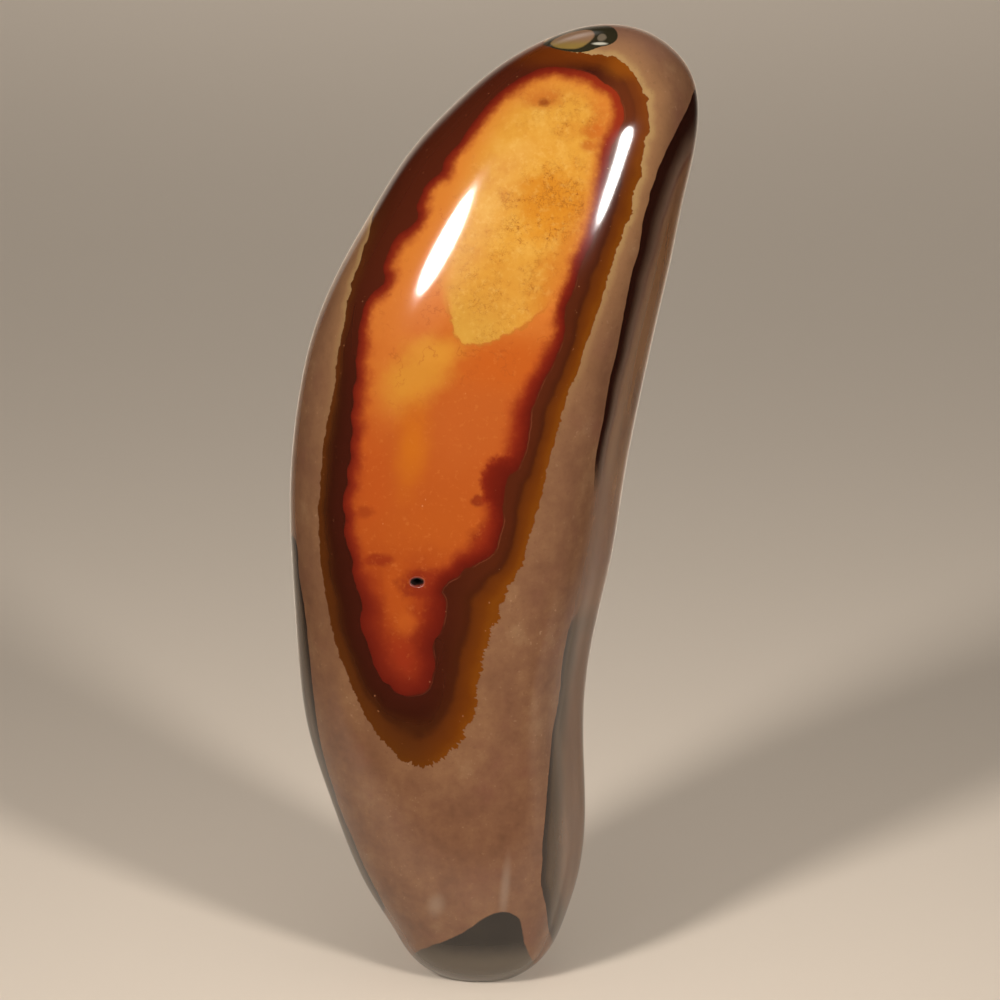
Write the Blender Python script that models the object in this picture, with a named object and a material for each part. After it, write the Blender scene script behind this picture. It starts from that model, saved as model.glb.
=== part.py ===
"""A polished freeform of polychrome jasper: one smooth, leaning stone that stands on a small ground flat.

Lengths are in millimetres here and in metres in the scene. The front looks along -Y, +X is to the right,
and the origin is the middle of the flat that the stone stands on.
"""
import math

import bmesh
import bpy
import numpy as np

MM = 0.001
COLLECTION = "polychrome_jasper_freeform"

# Driving sizes of the whole form. The rounded foot would reach below the flat if it weren't ground off there.
HEIGHT = 150.0
GROUND_OFF = 1.5

# Stations up the stone: height, then where its left edge, right edge, front and back lie there
STATIONS = (
    (1.0, -8.0, 8.5, -6.6, 6.2),
    (3.0, -10.3, 10.9, -8.9, 8.3),
    (7.0, -12.9, 13.3, -11.3, 10.5),
    (14.0, -16.9, 15.6, -13.9, 12.5),
    (28.0, -22.5, 16.8, -16.7, 14.8),
    (41.0, -26.4, 16.5, -18.3, 16.2),
    (54.0, -27.9, 18.0, -19.3, 17.0),
    (67.0, -28.6, 20.8, -19.6, 17.3),
    (79.0, -28.8, 22.6, -19.3, 17.3),
    (92.0, -27.6, 25.0, -18.2, 17.1),
    (104.0, -24.9, 27.5, -16.5, 16.7),
    (114.0, -20.6, 29.7, -14.9, 16.3),
    (123.0, -15.4, 31.5, -12.8, 15.9),
    (132.5, -8.9, 33.5, -9.9, 15.1),
    (139.0, -2.5, 33.6, -7.3, 14.0),
    (145.0, 5.2, 30.9, -3.4, 11.6),
    (148.3, 11.8, 26.8, -0.6, 9.2),
)

# The outline of a level section from its right-most point round by the back, left and front, in halves of its
# width and depth: a broad front, a ridge at the front right and a flatter right side that faces partly forward
SECTION = (
    (1.00, 0.38),
    (0.93, 0.63),
    (0.72, 0.84),
    (0.36, 0.97),
    (-0.14, 1.00),
    (-0.58, 0.86),
    (-0.88, 0.52),
    (-1.00, 0.03),
    (-0.95, -0.36),
    (-0.77, -0.68),
    (-0.46, -0.90),
    (0.00, -1.00),
    (0.44, -0.92),
    (0.66, -0.76),
    (0.78, -0.54),
    (0.91, -0.08),
)

# Faces round the stone and from foot to top, and the angle in degrees past which an edge stays sharp
AROUND = 64
LEVELS = 40
SHARP_EDGE = 30.0

# Finish
JASPER_COLOUR = (0.30, 0.14, 0.06, 1.0)
JASPER_ROUGHNESS = 0.08


def clear_scene():
    """Takes out whatever the scene holds, so that the model starts from nothing."""
    for thing in list(bpy.data.objects):
        bpy.data.objects.remove(thing, do_unlink=True)


def smooth_through(places, values):
    """A natural cubic spline: a function that runs smoothly through the values at the places."""
    gaps = np.diff(places)
    slopes = np.diff(values) / gaps
    last = len(places) - 1
    system = np.eye(last + 1)
    bends = np.zeros(last + 1)
    for i in range(1, last):
        system[i, i - 1 : i + 2] = gaps[i - 1], 2 * (gaps[i - 1] + gaps[i]), gaps[i]
        bends[i] = 6 * (slopes[i] - slopes[i - 1])
    bends = np.linalg.solve(system, bends)

    def value_at(place):
        i = np.clip(np.searchsorted(places, place) - 1, 0, last - 1)
        before = (places[i + 1] - place) / gaps[i]
        after = 1 - before
        straight = before * values[i] + after * values[i + 1]
        curve = (before**3 - before) * bends[i] + (after**3 - after) * bends[i + 1]
        return straight + curve * gaps[i] ** 2 / 6

    return value_at


def roundness(height):
    """How wide a sphere from foot to top would be at this height, from 0 at its ends to 1 at its middle."""
    middle = (HEIGHT - GROUND_OFF) / 2
    reach = (HEIGHT + GROUND_OFF) / 2
    return np.sqrt(np.maximum(1 - ((height - middle) / reach) ** 2, 0.0))


def make_level_sizes():
    """Functions of height: the section's middle along X and Y, and half its width and depth over its roundness."""
    heights, left, right, front, back = np.array(STATIONS).T
    round_there = roundness(heights)
    middle_x = smooth_through(heights, (left + right) / 2)
    middle_y = smooth_through(heights, (front + back) / 2)
    half_width = smooth_through(heights, (right - left) / 2 / round_there)
    half_depth = smooth_through(heights, (back - front) / 2 / round_there)
    return middle_x, middle_y, half_width, half_depth


def make_section():
    """Functions of the share of the way round, from 0 to 1: the section's outline along X and along Y."""
    outline = np.array(SECTION)
    count = len(outline)
    rounds = np.vstack([outline, outline, outline, outline[:1]])
    steps = np.linalg.norm(np.diff(rounds, axis=0), axis=1)
    way = np.concatenate([[0.0], np.cumsum(steps)])
    way = (way - way[count]) / (way[2 * count] - way[count])
    return smooth_through(way, rounds[:, 0]), smooth_through(way, rounds[:, 1])


def shape_points(directions):
    """Where points of the unit sphere come to lie on the stone, in millimetres."""
    x, y, z = directions.T
    height = (HEIGHT - GROUND_OFF) / 2 + z * (HEIGHT + GROUND_OFF) / 2
    level = np.hypot(x, y)
    share = np.arctan2(y, x) / (2 * math.pi) % 1.0
    outline_x, outline_y = (along(share) for along in make_section())
    # The outline eases into an ellipse towards the foot and the top, so that both ends are round.
    ease = level * (2 - level)
    ellipse = np.arctan2(outline_y, outline_x)
    across = ease * outline_x + (1 - ease) * np.cos(ellipse)
    along = ease * outline_y + (1 - ease) * np.sin(ellipse)
    middle_x, middle_y, half_width, half_depth = (size(height) for size in make_level_sizes())
    return np.column_stack(
        [middle_x + half_width * level * across, middle_y + half_depth * level * along, height]
    )


def grind_flat(bm):
    """Cuts the rounded foot off level at the origin's height and closes the cut."""
    everything = bm.verts[:] + bm.edges[:] + bm.faces[:]
    cut = bmesh.ops.bisect_plane(
        bm, geom=everything, plane_co=(0, 0, 0), plane_no=(0, 0, 1), dist=1e-7, clear_inner=True
    )
    rim = [part for part in cut["geom_cut"] if isinstance(part, bmesh.types.BMEdge)]
    bmesh.ops.edgeloop_fill(bm, edges=rim)


def make_material():
    material = bpy.data.materials.new("polished_jasper")
    material.use_nodes = True
    shader = material.node_tree.nodes["Principled BSDF"]
    shader.inputs["Base Color"].default_value = JASPER_COLOUR
    shader.inputs["Roughness"].default_value = JASPER_ROUGHNESS
    shader.inputs["Metallic"].default_value = 0.0
    return material


def make_stone():
    """The stone: a sphere drawn out to the stations' sections, with its foot ground flat."""
    bm = bmesh.new()
    bmesh.ops.create_uvsphere(bm, u_segments=AROUND, v_segments=LEVELS, radius=1.0)
    points = shape_points(np.array([vert.co for vert in bm.verts]))
    for vert, point in zip(bm.verts, points):
        vert.co = point * MM
    grind_flat(bm)
    bmesh.ops.recalc_face_normals(bm, faces=bm.faces[:])
    mesh = bpy.data.meshes.new("stone")
    bm.to_mesh(mesh)
    bm.free()
    mesh.shade_smooth()
    mesh.set_sharp_from_angle(angle=math.radians(SHARP_EDGE))
    mesh.materials.append(make_material())
    return bpy.data.objects.new("stone", mesh)


def main():
    clear_scene()
    parts = bpy.data.collections.new(COLLECTION)
    bpy.context.scene.collection.children.link(parts)
    parts.objects.link(make_stone())


main()
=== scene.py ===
"""The looks of a polished polychrome jasper freeform: the finished stone, a floor, lights and a camera.

The stone's form is worked out as in the CAD part, in millimetres, with a finer mesh. Its figure is drawn in
outlines read off the photograph's 1000 x 1000 frame, which is carried on round the edges to the back.
"""
import math

import bpy
import numpy as np
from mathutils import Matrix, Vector
from mathutils.kdtree import KDTree


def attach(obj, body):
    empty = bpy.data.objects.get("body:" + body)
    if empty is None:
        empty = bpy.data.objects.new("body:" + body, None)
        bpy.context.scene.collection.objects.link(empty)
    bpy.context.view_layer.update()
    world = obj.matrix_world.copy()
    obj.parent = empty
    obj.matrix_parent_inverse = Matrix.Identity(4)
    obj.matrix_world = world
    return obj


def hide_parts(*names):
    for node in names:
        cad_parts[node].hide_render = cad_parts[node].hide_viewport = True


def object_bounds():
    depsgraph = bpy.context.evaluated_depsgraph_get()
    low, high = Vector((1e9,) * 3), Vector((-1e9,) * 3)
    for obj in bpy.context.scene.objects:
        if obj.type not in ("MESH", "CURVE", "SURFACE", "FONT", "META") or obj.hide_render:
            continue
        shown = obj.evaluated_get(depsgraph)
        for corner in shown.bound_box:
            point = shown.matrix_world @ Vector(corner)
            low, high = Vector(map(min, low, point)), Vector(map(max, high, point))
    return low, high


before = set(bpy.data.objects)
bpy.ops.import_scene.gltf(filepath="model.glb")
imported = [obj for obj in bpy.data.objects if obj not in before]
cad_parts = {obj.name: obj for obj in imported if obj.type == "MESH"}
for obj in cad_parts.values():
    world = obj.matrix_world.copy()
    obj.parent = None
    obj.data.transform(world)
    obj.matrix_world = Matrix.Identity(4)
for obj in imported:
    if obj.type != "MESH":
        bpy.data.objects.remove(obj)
cad_low, cad_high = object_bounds()

MM = 0.001

# Form, as in the CAD part: height of the stone and how much of its rounded foot is ground off
HEIGHT = 150.0
GROUND_OFF = 1.5

# Stations up the stone: height, then where its left edge, right edge, front and back lie there
STATIONS = (
    (1.0, -8.0, 8.5, -6.6, 6.2),
    (3.0, -10.3, 10.9, -8.9, 8.3),
    (7.0, -12.9, 13.3, -11.3, 10.5),
    (14.0, -16.9, 15.6, -13.9, 12.5),
    (28.0, -22.5, 16.8, -16.7, 14.8),
    (41.0, -26.4, 16.5, -18.3, 16.2),
    (54.0, -27.9, 18.0, -19.3, 17.0),
    (67.0, -28.6, 20.8, -19.6, 17.3),
    (79.0, -28.8, 22.6, -19.3, 17.3),
    (92.0, -27.6, 25.0, -18.2, 17.1),
    (104.0, -24.9, 27.5, -16.5, 16.7),
    (114.0, -20.6, 29.7, -14.9, 16.3),
    (123.0, -15.4, 31.5, -12.8, 15.9),
    (132.5, -8.9, 33.5, -9.9, 15.1),
    (139.0, -2.5, 33.6, -7.3, 14.0),
    (145.0, 5.2, 30.9, -3.4, 11.6),
    (148.3, 11.8, 26.8, -0.6, 9.2),
)

# Outline of a level section from its right-most point round by the back, left and front, in half sizes
SECTION = (
    (1.00, 0.38), (0.93, 0.63), (0.72, 0.84), (0.36, 0.97), (-0.14, 1.00), (-0.58, 0.86), (-0.88, 0.52),
    (-1.00, 0.03), (-0.95, -0.36), (-0.77, -0.68), (-0.46, -0.90), (0.00, -1.00), (0.44, -0.92),
    (0.66, -0.76), (0.78, -0.54), (0.91, -0.08),
)

# The visible mesh: rings and columns, and more of both across the small pit in the figure, whose place is
# in the photograph's pixels and whose size is in millimetres
RINGS = 280
COLUMNS = 300
PIT_EXTRA = 14
PIT_EXTRA_REACH = 1.6
PIT_PLACE = (417.0, 582.0)
PIT_HALF = (0.85, 0.55)
PIT_DEPTH = 1.8
PIT_STEEPNESS = 0.5

# The foot's rounded rim: how far in it starts, how high it ends, and half the width of the flat inside it
RIM_ROUNDING = 0.25
RIM_LIFT = 0.1
FLAT_HALF = 7.0

# The polished surface, the dull paper of floor and sheet, and how wide the floor is in metres
ROUGHNESS = 0.09
JASPER_IOR = 1.52
PAPER_ROUGHNESS = 0.9
FLOOR_SHEEN = 0.1
FLOOR_HALF = 8.0
FLOOR_COLOUR = (214, 200, 184)

# The sheet that shows in the polish: its edges on the floor, half width, bend and height. It fades out from a
# share of its half width and height, and over a length at its front.
SHEET_FRONT = -60.0
SHEET_BACK = 110.0
SHEET_HALF = 200.0
SHEET_BEND = 80.0
SHEET_STEPS = 17
SHEET_TOP = 320.0
SHEET_LIFT = 0.1
SHEET_SIDE_FADE = 0.3
SHEET_TOP_FADE = 0.4
SHEET_FRONT_FADE = 30.0

# How bright a white surface facing the lamps looks, and the colour of every lamp
LIGHT_LEVEL = 1.7
WORLD_LIGHT = (0.12, 0.115, 0.108)
LAMP_COLOUR = (1.0, 0.97, 0.93)

# Lamps: name, azimuth and elevation in degrees, distance, width and height in metres, and power
KEY_SPREAD = 75.0
KEY_LAMPS = (
    ("lamp_left", -35.0, 27.5, 0.7, 0.108, 0.195, 0.8),
    ("lamp_right", 32.4, 18.5, 0.7, 0.092, 0.20, 0.8),
)
LAMP_ABOVE = ("lamp_above", 0.0, 75.0, 1.6, 1.0, 1.0, 3.2)
LAMP_BEHIND = ("lamp_behind", 0.0, 90.0, 1.3, 0.5, 1.4, 2.0)
BEHIND_SPREAD = 70.0
BEHIND_AIM = (0.0, 1350.0, 0.0)
FILL_AZIMUTHS = (130.0, 180.0, 230.0)
FILL_LAMP = (30.0, 1.3, 0.7, 0.7, 4.4)

# Cards that show in the polish: name, azimuth, elevation, distance, width, height and strength
GLOWS = (
    ("glow_left", -24.0, 25.0, 0.8, 0.46, 0.50, 1.3),
    ("glow_right", 30.0, 17.0, 0.8, 0.34, 0.44, 1.6),
    ("glow_rim", -150.0, 8.0, 0.8, 0.36, 0.36, 0.45),
    ("glow_back", 196.0, 52.0, 0.9, 0.34, 0.50, 1.6),
)

# Spacing of the points along an outline that distances are measured to
OUTLINE_STEP = 0.06

# Camera, set up as the photograph was taken, in degrees and millimetres
CAMERA_ELEVATION = 15.0
CAMERA_DISTANCE = 795.0
CAMERA_AIM = (3.4, 0.0, 76.9)
CAMERA_LENS = 186.0
SENSOR = 36.0
PHOTO_SIZE = 1000.0

# Outlines of the figure in the photograph's pixels. Past the stone's left and right edges, x runs on round to
# the back at the same scale.
CORE = (
    (547, 67), (563, 67), (579, 70), (594, 75), (604, 83), (614, 90), (620, 99), (624, 110), (623, 122),
    (618, 136), (611, 150), (608, 170), (606, 192), (600, 215), (597, 228), (592, 242), (586, 256),
    (579, 271), (576, 283), (572, 293), (566, 305), (564, 319), (565, 330), (561, 345), (553, 363),
    (548, 374), (541, 386), (537, 398), (531, 411), (530, 424), (528, 437), (526, 450), (521, 462),
    (518, 470), (508, 478), (505, 492), (503, 506), (503, 522), (500, 536), (496, 551), (489, 557),
    (480, 561), (473, 566), (464, 569), (459, 575), (452, 580), (447, 583), (442, 592), (446, 600),
    (445, 610), (444, 622), (441, 632), (434, 640), (433, 650), (435, 662), (433, 673), (430, 685),
    (424, 692), (414, 695), (404, 695), (395, 692), (389, 685), (383, 682), (378, 672), (373, 663),
    (370, 651), (365, 637), (361, 629), (360, 618), (363, 608), (360, 597), (356, 584), (352, 571),
    (353, 561), (349, 551), (346, 541), (344, 530), (346, 519), (343, 508), (344, 495), (348, 484),
    (347, 471), (351, 458), (350, 444), (353, 430), (351, 416), (354, 402), (353, 390), (357, 378),
    (356, 362), (358, 348), (358, 334), (361, 320), (364, 306), (369, 297), (375, 291), (382, 286),
    (385, 277), (383, 268), (387, 257), (391, 246), (397, 236), (405, 230), (413, 224), (418, 216),
    (416, 206), (421, 196), (425, 186), (434, 178), (442, 172), (443, 163), (450, 153), (460, 142),
    (466, 132), (476, 119), (486, 106), (497, 95), (508, 86), (520, 78), (534, 71),
)
HALO = (
    (546, 44), (560, 49), (574, 52), (588, 54), (602, 55), (614, 57), (623, 62), (630, 69), (637, 79),
    (640, 84), (643, 92), (649, 96), (647, 104), (649, 113), (649, 122), (650, 131), (645, 142),
    (645, 152), (641, 163), (642, 174), (637, 185), (633, 196), (633, 207), (630, 219), (624, 228),
    (621, 239), (616, 252), (612, 267), (607, 281), (604, 294), (598, 311), (593, 325), (588, 338),
    (583, 353), (579, 367), (575, 379), (570, 388), (566, 400), (562, 412), (559, 427), (555, 442),
    (550, 457), (547, 471), (544, 484), (542, 497), (539, 505), (536, 515), (532, 528), (529, 539),
    (526, 550), (523, 561), (519, 570), (516, 577), (509, 587), (507, 597), (499, 607), (499, 617),
    (493, 626), (490, 637), (486, 648), (485, 658), (481, 670), (478, 681), (477, 693), (477, 705),
    (474, 716), (468, 726), (464, 735), (459, 746), (451, 751), (444, 758), (436, 763), (426, 767),
    (415, 766), (405, 762), (396, 758), (391, 749), (384, 742), (377, 735), (372, 725), (366, 717),
    (361, 706), (356, 697), (350, 683), (346, 671), (340, 657), (336, 643), (332, 630), (329, 616),
    (327, 603), (325, 590), (323, 577), (321, 563), (320, 548), (319, 532), (319, 519), (318, 506),
    (320, 492), (320, 478), (322, 464), (322, 450), (325, 436), (327, 421), (330, 409), (332, 397),
    (335, 383), (336, 367), (338, 351), (340, 339), (343, 327), (346, 315), (346, 305), (351, 293),
    (351, 283), (356, 272), (360, 262), (363, 249), (368, 238), (371, 224), (374, 211), (376, 198),
    (378, 180), (386, 158), (400, 132), (420, 106), (446, 80), (476, 58), (506, 44), (530, 38),
)
SIDE_BAND = (
    (692, 100), (686, 112), (678, 127), (672, 140), (665, 153), (659, 167), (654, 182), (650, 193),
    (649, 201), (646, 210), (643, 222), (641, 236), (639, 250), (635, 263), (631, 277), (628, 293),
    (625, 309), (621, 330), (617, 351), (613, 367), (609, 383), (606, 402), (603, 421), (599, 440),
    (596, 459), (594, 480), (595, 505), (602, 530), (620, 552), (640, 560), (656, 546), (664, 518),
    (680, 494), (688, 462), (706, 438), (712, 402), (734, 372), (742, 334), (764, 300), (768, 262),
    (786, 232), (784, 196), (796, 164), (786, 132), (764, 116), (752, 92), (730, 86), (712, 76),
)
LOW_BAND = (
    (584, 600), (578, 610), (573, 619), (569, 629), (566, 643), (563, 659), (561, 675), (560, 691),
    (557, 710), (553, 730), (551, 750), (549, 771), (547, 795), (545, 819), (543, 843), (542, 867),
    (541, 882), (544, 897), (547, 912), (549, 930), (556, 942), (578, 940), (594, 922), (622, 908),
    (636, 880), (662, 862), (668, 828), (690, 800), (684, 764), (702, 734), (696, 702), (708, 668),
    (690, 646), (672, 640), (654, 616), (628, 606), (606, 590),
)
LEFT_BAND = (
    (296, 540), (299, 575), (305, 612), (309, 650), (314, 700), (319, 735), (326, 765), (334, 790),
    (341, 812), (350, 832), (360, 857), (370, 878), (380, 897), (384, 912), (366, 914), (350, 900),
    (328, 894), (312, 868), (292, 852), (286, 820), (266, 796), (270, 760), (254, 728), (260, 690),
    (246, 652), (258, 618), (254, 584), (274, 562), (282, 540),
)
BACK_CORE = (
    (905, 262), (926, 260), (944, 278), (950, 312), (942, 348), (936, 384), (924, 420), (912, 452),
    (900, 490), (888, 526), (876, 560), (858, 588), (836, 592), (824, 572), (820, 536), (814, 500),
    (818, 462), (828, 424), (838, 388), (852, 350), (866, 312), (882, 282),
)
BACK_HALO = (
    (898, 228), (928, 222), (958, 238), (976, 268), (982, 304), (974, 346), (966, 388), (952, 426),
    (944, 462), (930, 500), (920, 536), (904, 574), (886, 606), (856, 628), (824, 626), (802, 600),
    (794, 560), (786, 516), (786, 472), (796, 430), (806, 388), (822, 350), (836, 310), (852, 270),
    (874, 244),
)
FOOT_PATCH = (
    (418, 951), (428, 947), (439, 943), (452, 938), (464, 932), (473, 926), (480, 921), (488, 916),
    (496, 913), (505, 912), (513, 914), (519, 919), (522, 927), (523, 936), (526, 947), (532, 960),
    (538, 976), (534, 1000), (480, 1010), (430, 1004), (404, 985), (408, 962),
)
EYE = (
    (543, 44), (552, 38), (562, 33), (574, 29), (586, 27), (598, 26), (609, 26), (616, 30), (618, 36),
    (616, 41), (609, 45), (600, 47), (592, 50), (584, 52), (573, 52), (560, 50), (550, 47),
)
EYE_LENS = (
    (550, 43), (557, 38), (568, 33), (581, 30), (591, 30), (595, 34), (593, 39), (586, 45), (577, 49),
    (563, 49), (554, 47),
)
EYE_SPOT = ((597, 38), (600, 34), (605, 34), (607, 38), (603, 41), (599, 41))
MEADOW = (
    (447, 306), (450, 318), (452, 331), (458, 339), (466, 345), (474, 343), (483, 343), (496, 341),
    (506, 335), (516, 331), (527, 324), (538, 316), (549, 300), (560, 281), (570, 262), (578, 245),
    (586, 222), (592, 195), (597, 165), (606, 140), (608, 118), (598, 102), (582, 92), (563, 86),
    (545, 88), (526, 96), (508, 110), (492, 130), (478, 155), (468, 180), (458, 208), (449, 238),
    (443, 270),
)

# Where two of the bands fade in, by height in the photograph, on the side that it shows
ENDS = {"side_band": (505.0, 455.0), "low_band": (596.0, 636.0)}

# The middle line of the figure: height in the photograph, then x
FIGURE_MIDDLE = (
    (40, 585), (100, 560), (200, 520), (300, 470), (400, 445), (500, 428), (600, 408), (700, 408),
)

# The share of the way round at which the front lies, from the right by the back, and how much of the back is
# measured from the left edge
FRONT_TURN = 0.75
LEFT_SHARE = 0.25

# How deep the upper flank band's run of tones goes, in millimetres
FLANK_DEPTH = 14.0

# Runs of tones, as they look in the photograph from 0 to 255: the place along the run, then the colour
HOST_TONES = ((0.0, (112, 76, 55)), (0.35, (126, 87, 63)), (0.65, (138, 98, 70)), (1.0, (154, 118, 86)))
BAND_TONES = (
    (0.0, (66, 25, 15)), (0.3, (60, 24, 13)), (0.52, (70, 31, 13)), (0.62, (96, 45, 14)),
    (0.85, (110, 54, 13)), (1.0, (122, 64, 14)),
)
BODY_TONES = (
    (0.10, (216, 132, 50)), (0.30, (210, 120, 48)), (0.36, (190, 97, 36)), (0.44, (183, 89, 34)),
    (0.54, (178, 82, 30)), (0.60, (160, 63, 25)), (0.65, (140, 46, 23)),
)
SAND_TONES = ((0.0, (207, 134, 46)), (0.5, (219, 156, 60)), (1.0, (229, 175, 82)))
LEFT_RIM_TONES = ((0.0, (104, 28, 17)), (0.25, (124, 37, 20)), (0.55, (140, 46, 23)), (1.0, (162, 60, 27)))
RIGHT_RIM_TONES = ((0.0, (94, 25, 15)), (0.25, (112, 30, 17)), (0.55, (132, 39, 20)), (1.0, (156, 55, 25)))
FLANK_TONES = (
    (0.0, (44, 19, 13)), (0.2, (46, 22, 15)), (0.34, (74, 52, 40)), (0.5, (104, 79, 63)),
    (0.62, (118, 88, 70)), (0.70, (104, 66, 48)), (0.80, (128, 90, 62)), (1.0, (138, 98, 66)),
)
CHARCOAL_TONES = ((0.0, (38, 33, 29)), (1.0, (52, 45, 38)))

# Oval patches in the photograph's pixels, laid on one after the other: x, y, half width, half height,
# softness, strength, lean to the right per pixel of height, and colour
BAND_PATCHES_AND_PAINTED_HAZE = (
    # The first patch is painted highlight haze, the glow of the right lamp's reflection over the band; the
    # others are the band's own amber.
    (630, 112, 34, 48, 0.6, 0.4, 0, (126, 62, 32)),
    (568, 54, 60, 12, 0.7, 0.8, 0, (114, 52, 13)),
    (628, 66, 20, 12, 0.6, 0.8, 0, (140, 74, 18)),
)
BODY_PATCHES = (
    (508, 366, 44, 24, 0.6, 0.8, 0.4, (192, 92, 31)),
    (472, 424, 46, 40, 0.6, 0.7, 0.2, (186, 92, 37)),
    (400, 318, 40, 40, 0.7, 0.5, 0.5, (208, 118, 52)),
    (386, 366, 22, 56, 0.8, 0.6, 0.1, (206, 118, 46)),
    (416, 374, 31, 34, 0.6, 0.9, 0.35, (206, 137, 48)),
    (438, 352, 24, 12, 0.8, 0.8, 0.3, (210, 140, 50)),
    (412, 446, 14, 38, 0.9, 0.7, 0.1, (200, 110, 26)),
    (372, 470, 18, 60, 0.7, 0.4, 0, (184, 78, 28)),
    (440, 530, 46, 30, 0.8, 0.6, 0, (182, 88, 31)),
    (397, 596, 15, 32, 0.6, 0.6, 0, (186, 88, 30)),
    (406, 624, 9, 11, 0.6, 0.5, 0, (190, 94, 34)),
    (404, 668, 26, 26, 0.6, 0.7, 0, (150, 50, 25)),
    (900, 350, 30, 66, 0.8, 0.85, 0.2, (214, 146, 54)),
    (862, 520, 26, 34, 0.8, 0.7, 0.2, (164, 62, 28)),
)
RED_PATCHES = (
    (479, 501, 7, 5, 0.4, 0.8, 0, (132, 42, 22)),
    (365, 512, 9, 6, 0.5, 0.5, 0, (140, 46, 22)),
    (379, 560, 14, 6, 0.4, 0.7, 0, (138, 42, 22)),
    (424, 584, 24, 15, 0.4, 0.8, 0, (132, 40, 23)),
    (440, 612, 14, 34, 0.5, 0.9, 0, (128, 35, 21)),
    (490, 542, 18, 20, 0.5, 0.85, 0.3, (130, 36, 19)),
    (522, 430, 12, 40, 0.5, 0.6, 0.2, (146, 44, 22)),
)
SAND_PATCHES = (
    (470, 325, 40, 32, 0.6, 0.75, 0, (202, 150, 62)),
    (505, 290, 50, 36, 0.7, 0.6, 0, (208, 144, 56)),
    (552, 206, 27, 36, 0.5, 0.65, 0.3, (216, 140, 38)),
    (566, 262, 22, 56, 0.7, 0.65, 0.4, (202, 118, 38)),
    (541, 97, 20, 11, 0.6, 0.75, 0, (190, 98, 36)),
    (594, 132, 10, 7, 0.5, 0.75, 0, (192, 104, 36)),
    (589, 146, 8, 6, 0.5, 0.75, 0, (186, 98, 34)),
    (547, 198, 34, 22, 0.6, 0.6, 0.1, (204, 126, 34)),
    (544, 102, 5, 4, 0.6, 0.7, 0, (132, 54, 26)),
    (610, 118, 15, 46, 0.8, 0.7, 0, (198, 96, 36)),
)
# Two pale streaks above the foot: painted reflections of small lights, not marks in the stone.
FOOT_PAINTED_REFLECTIONS = (
    (505, 888, 4, 24, 0.8, 0.3, 0.1, (178, 158, 138)),
    (436, 905, 7, 9, 0.8, 0.3, 0.1, (178, 158, 138)),
)
# A painted glint: a thin highlight line across the eye.
EYE_PAINTED_GLINT = ((600, 43.6, 7, 1.3, 0.4, 0.9, 0, (216, 208, 188)),)

# Ovals without a colour of their own: x, y, half width, half height, softness; the pit's are without x and y
CORNER = (612, 104, 36, 44, 0.8)
BAY = (502, 482, 20, 22, 0.4)
DENSE_MOSS = (545, 212, 44, 48, 0.6)
LOW_MOSS = (505, 288, 62, 54, 0.6)
TOP_MOSS = (570, 105, 50, 34, 0.6)
# The pit's inside, where painted shade darkens it.
PIT_PAINTED_SHADE = (6.8, 4.4, 0.12)
PIT_LIP = (8.2, 5.8, 0.12)

# Where changes of colour set in and are full, in the photograph's pixels: down it, across it, or to the
# right of the figure's middle line
TOP_BLUSH_Y = (80, 30)
CREAM_Y = (480, 160)
BROAD_SIDE = (-110, 90)
INNER_SIDE = (10, 80)
UPPER_LEFT_Y = (420, 240)
UPPER_LEFT_SIDE = (0, -60)
SHELL_X = (470, 400)
THREAD_SIDE = (-30, 50)
VEINS_Y = (480, 340)
MEADOW_SOFT_Y = (318, 270)
MEADOW_SEAM_Y = (290, 318)
LOWER_RIGHT_Y = (330, 420)
LOWER_RIGHT_SIDE = (20, 60)
TONGUE_Y = (550, 620)
TONGUE_RIM_Y = (520, 640)
RIM_SIDE = (-20, 40)
FLANK_Y = (120, 460)
FEATHER_Y = (540, 640)
FEATHER_SIDE = (-40, 20)
LENS_Y = (46, 38)


def smooth_through(places, values):
    """A natural cubic spline: a function that runs smoothly through the values at the places."""
    gaps = np.diff(places)
    slopes = np.diff(values) / gaps
    last = len(places) - 1
    system = np.eye(last + 1)
    bends = np.zeros(last + 1)
    for i in range(1, last):
        system[i, i - 1 : i + 2] = gaps[i - 1], 2 * (gaps[i - 1] + gaps[i]), gaps[i]
        bends[i] = 6 * (slopes[i] - slopes[i - 1])
    bends = np.linalg.solve(system, bends)

    def value_at(place):
        i = np.clip(np.searchsorted(places, place) - 1, 0, last - 1)
        before = (places[i + 1] - place) / gaps[i]
        after = 1 - before
        straight = before * values[i] + after * values[i + 1]
        curve = (before**3 - before) * bends[i] + (after**3 - after) * bends[i + 1]
        return straight + curve * gaps[i] ** 2 / 6

    return value_at


def roundness(height):
    """How wide a sphere from foot to top would be at this height, from 0 at its ends to 1 at its middle."""
    middle = (HEIGHT - GROUND_OFF) / 2
    reach = (HEIGHT + GROUND_OFF) / 2
    return np.sqrt(np.maximum(1 - ((height - middle) / reach) ** 2, 0.0))


def make_level_sizes():
    """Functions of height: the section's middle in X and Y, its half width and depth over its roundness."""
    heights, left, right, front, back = np.array(STATIONS).T
    round_there = roundness(heights)
    middle_x = smooth_through(heights, (left + right) / 2)
    middle_y = smooth_through(heights, (front + back) / 2)
    half_width = smooth_through(heights, (right - left) / 2 / round_there)
    half_depth = smooth_through(heights, (back - front) / 2 / round_there)
    return middle_x, middle_y, half_width, half_depth


def make_section():
    """Functions of the share of the way round, from 0 to 1: the section's outline along X and along Y."""
    outline = np.array(SECTION)
    count = len(outline)
    rounds = np.vstack([outline, outline, outline, outline[:1]])
    steps = np.linalg.norm(np.diff(rounds, axis=0), axis=1)
    way = np.concatenate([[0.0], np.cumsum(steps)])
    way = (way - way[count]) / (way[2 * count] - way[count])
    return smooth_through(way, rounds[:, 0]), smooth_through(way, rounds[:, 1])


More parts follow.
